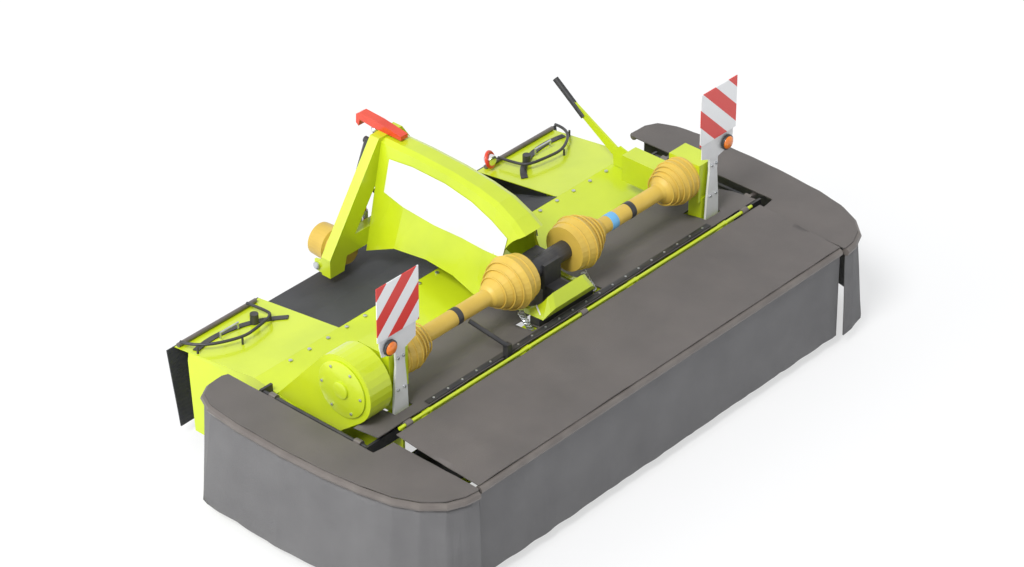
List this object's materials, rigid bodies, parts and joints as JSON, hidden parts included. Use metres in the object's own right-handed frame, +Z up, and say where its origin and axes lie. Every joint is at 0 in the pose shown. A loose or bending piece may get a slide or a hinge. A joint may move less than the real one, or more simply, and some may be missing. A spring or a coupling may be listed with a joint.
{
  "type": "front-mounted disc mower conditioner",
  "caption": "Front disc mower with tined conditioner, arched boom, cross shafts with ochre guards, folding cloth guards and striped boards.",
  "frame": {"origin": "middle of the footprint on the ground", "axes": "+Z up, -Y is the direction of travel, +X is the left side of the machine"},
  "size_m": [3.636, 2.1416, 1.355],
  "materials": {
    "lime_paint": "gloss lime paint",
    "dark_steel": "satin dark steel",
    "grey_tube": "satin grey-brown paint",
    "tarpaulin": "coated cloth",
    "rubber_sheet": "matt rubber",
    "guard_plastic": "ochre plastic",
    "white_paint": "gloss white paint",
    "board_red": "red and white stripes",
    "red_paint": "gloss red paint",
    "zinc": "zinc plated",
    "hose_rubber": "black hose"
  },
  "bodies": {
    "root": {"main_gearbox": "dark_steel", "lift_cylinder": "dark_steel", "shaft_strut": "dark_steel", "swath_quadrant_left": "dark_steel", "swath_quadrant_right": "dark_steel", "guard_hinge_left": "dark_steel", "guard_hinge_right": "dark_steel", "cutter_bar": "lime_paint", "side_frame_left": "lime_paint", "side_frame_right": "lime_paint", "main_beam": "lime_paint", "belt_cover": "lime_paint", "hood": "lime_paint", "rear_wing_left": "lime_paint", "rear_wing_right": "lime_paint", "end_plate_left": "lime_paint", "end_plate_right": "lime_paint", "arch": "lime_paint", "side_gearbox_left": "lime_paint", "side_gearbox_right": "lime_paint", "headstock": "lime_paint", "intensity_lever": "lime_paint", "centre_tarp": "tarpaulin", "centre_mat": "rubber_sheet", "rear_flap_left": "rubber_sheet", "rear_flap_right": "rubber_sheet", "input_guard": "guard_plastic", "shaft_guard_left": "guard_plastic", "shaft_guard_right": "guard_plastic", "board_post_left": "white_paint", "board_post_right": "white_paint", "warning_board_left": "board_red", "warning_board_right": "board_red", "top_hook": "red_paint", "coupling_rail": "zinc", "relief_spring_left": "zinc", "relief_spring_right": "zinc", "hose_long": "hose_rubber", "hose_loop": "hose_rubber"},
    "disc_1": {"mowing_disc_1": "dark_steel"},
    "disc_2": {"mowing_disc_2": "dark_steel"},
    "disc_3": {"mowing_disc_3": "dark_steel"},
    "disc_4": {"mowing_disc_4": "dark_steel"},
    "disc_5": {"mowing_disc_5": "dark_steel"},
    "disc_6": {"mowing_disc_6": "dark_steel"},
    "disc_7": {"mowing_disc_7": "dark_steel"},
    "rotor": {"conditioner_rotor": "dark_steel"},
    "front_guard": {"front_guard_frame": "grey_tube", "front_tarp": "tarpaulin", "front_curtain": "tarpaulin"},
    "side_guard_left": {"side_guard_frame_left": "grey_tube", "side_tarp_left": "tarpaulin", "side_curtain_left": "tarpaulin"},
    "swath_left": {"swath_board_left": "lime_paint"},
    "stand_left": {"parking_stand_left": "dark_steel"},
    "side_guard_right": {"side_guard_frame_right": "grey_tube", "side_tarp_right": "tarpaulin", "side_curtain_right": "tarpaulin"},
    "swath_right": {"swath_board_right": "lime_paint"},
    "stand_right": {"parking_stand_right": "dark_steel"}
  },
  "joints": [
    {"name": "disc_1_spin", "type": "hinge", "parent": "root", "child": "disc_1", "pos_m": [-1.26, -0.35, 0.13], "axis": [0, 0, 1], "continuous": true},
    {"name": "disc_2_spin", "type": "hinge", "parent": "root", "child": "disc_2", "pos_m": [-0.84, -0.35, 0.13], "axis": [0, 0, 1], "continuous": true},
    {"name": "disc_3_spin", "type": "hinge", "parent": "root", "child": "disc_3", "pos_m": [-0.42, -0.35, 0.13], "axis": [0, 0, 1], "continuous": true},
    {"name": "disc_4_spin", "type": "hinge", "parent": "root", "child": "disc_4", "pos_m": [0, -0.35, 0.13], "axis": [0, 0, 1], "continuous": true},
    {"name": "disc_5_spin", "type": "hinge", "parent": "root", "child": "disc_5", "pos_m": [0.42, -0.35, 0.13], "axis": [0, 0, 1], "continuous": true},
    {"name": "disc_6_spin", "type": "hinge", "parent": "root", "child": "disc_6", "pos_m": [0.84, -0.35, 0.13], "axis": [0, 0, 1], "continuous": true},
    {"name": "disc_7_spin", "type": "hinge", "parent": "root", "child": "disc_7", "pos_m": [1.26, -0.35, 0.13], "axis": [0, 0, 1], "continuous": true},
    {"name": "rotor_spin", "type": "hinge", "parent": "root", "child": "rotor", "pos_m": [0, 0.28, 0.3], "axis": [1, 0, 0], "continuous": true},
    {"name": "front_guard_lift", "type": "hinge", "parent": "root", "child": "front_guard", "pos_m": [0, -0.49, 0.63], "axis": [-1, 0, 0], "range_deg": [0, 90]},
    {"name": "side_guard_left_fold", "type": "hinge", "parent": "root", "child": "side_guard_left", "pos_m": [1.45, 0, 0.56], "axis": [0, -1, 0], "range_deg": [0, 90]},
    {"name": "swath_left_turn", "type": "hinge", "parent": "root", "child": "swath_left", "pos_m": [1.262, 0.46, 0.3], "axis": [0, 0, 1], "range_deg": [0, 25]},
    {"name": "stand_left_fold", "type": "hinge", "parent": "root", "child": "stand_left", "pos_m": [1.342, 0.56, 0.3], "axis": [1, 0, 0], "range_deg": [0, 90]},
    {"name": "side_guard_right_fold", "type": "hinge", "parent": "root", "child": "side_guard_right", "pos_m": [-1.45, 0, 0.56], "axis": [0, 1, 0], "range_deg": [0, 90]},
    {"name": "swath_right_turn", "type": "hinge", "parent": "root", "child": "swath_right", "pos_m": [-1.262, 0.46, 0.3], "axis": [0, 0, -1], "range_deg": [0, 25]},
    {"name": "stand_right_fold", "type": "hinge", "parent": "root", "child": "stand_right", "pos_m": [-1.342, 0.56, 0.3], "axis": [1, 0, 0], "range_deg": [0, 90]}
  ],
  "couplings": [
    {"joint": "disc_2_spin", "follows": "disc_1_spin", "ratio": -1},
    {"joint": "disc_3_spin", "follows": "disc_1_spin", "ratio": 1},
    {"joint": "disc_4_spin", "follows": "disc_1_spin", "ratio": -1},
    {"joint": "disc_5_spin", "follows": "disc_1_spin", "ratio": 1},
    {"joint": "disc_6_spin", "follows": "disc_1_spin", "ratio": -1},
    {"joint": "disc_7_spin", "follows": "disc_1_spin", "ratio": 1}
  ]
}
